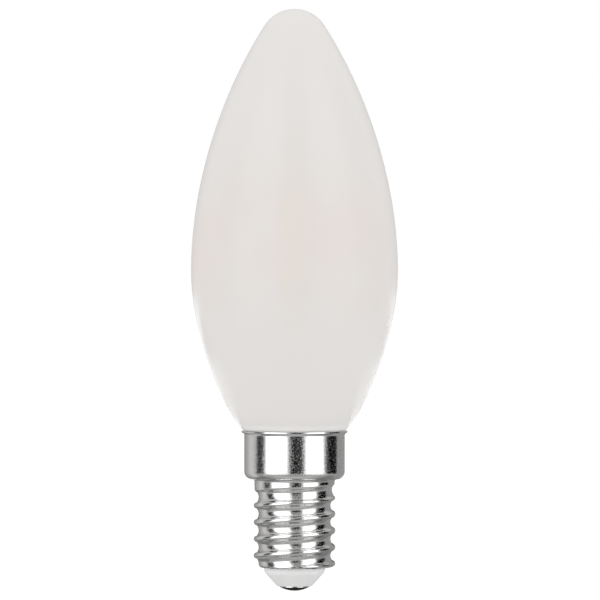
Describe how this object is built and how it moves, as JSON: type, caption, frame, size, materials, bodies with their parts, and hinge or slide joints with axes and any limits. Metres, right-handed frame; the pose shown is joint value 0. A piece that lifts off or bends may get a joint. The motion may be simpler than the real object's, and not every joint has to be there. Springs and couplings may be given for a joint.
{
  "type": "candle bulb",
  "caption": "Candle-shaped lamp with a sealed opal glass bulb on a skirted metal screw cap, with an insulator and a centre contact, for a small screw lampholder.",
  "frame": {"origin": "lowest point of the centre contact, on the lamp's axis", "axes": "+Z along the lamp's axis from the centre contact to the tip of the glass, -Y towards the viewer of the picture, +X to the viewer's right"},
  "size_m": [0.035, 0.035, 0.0984],
  "materials": {
    "opal_glass": "opal white, satin",
    "cap_metal": "bright nickel plating with a fine grain",
    "insulator": "pale grey, matte",
    "contact_metal": "dull plated"
  },
  "bodies": {
    "root": {"glass_bulb": "opal_glass", "screw_cap": "cap_metal", "insulator": "insulator", "centre_contact": "contact_metal"}
  },
  "joints": []
}
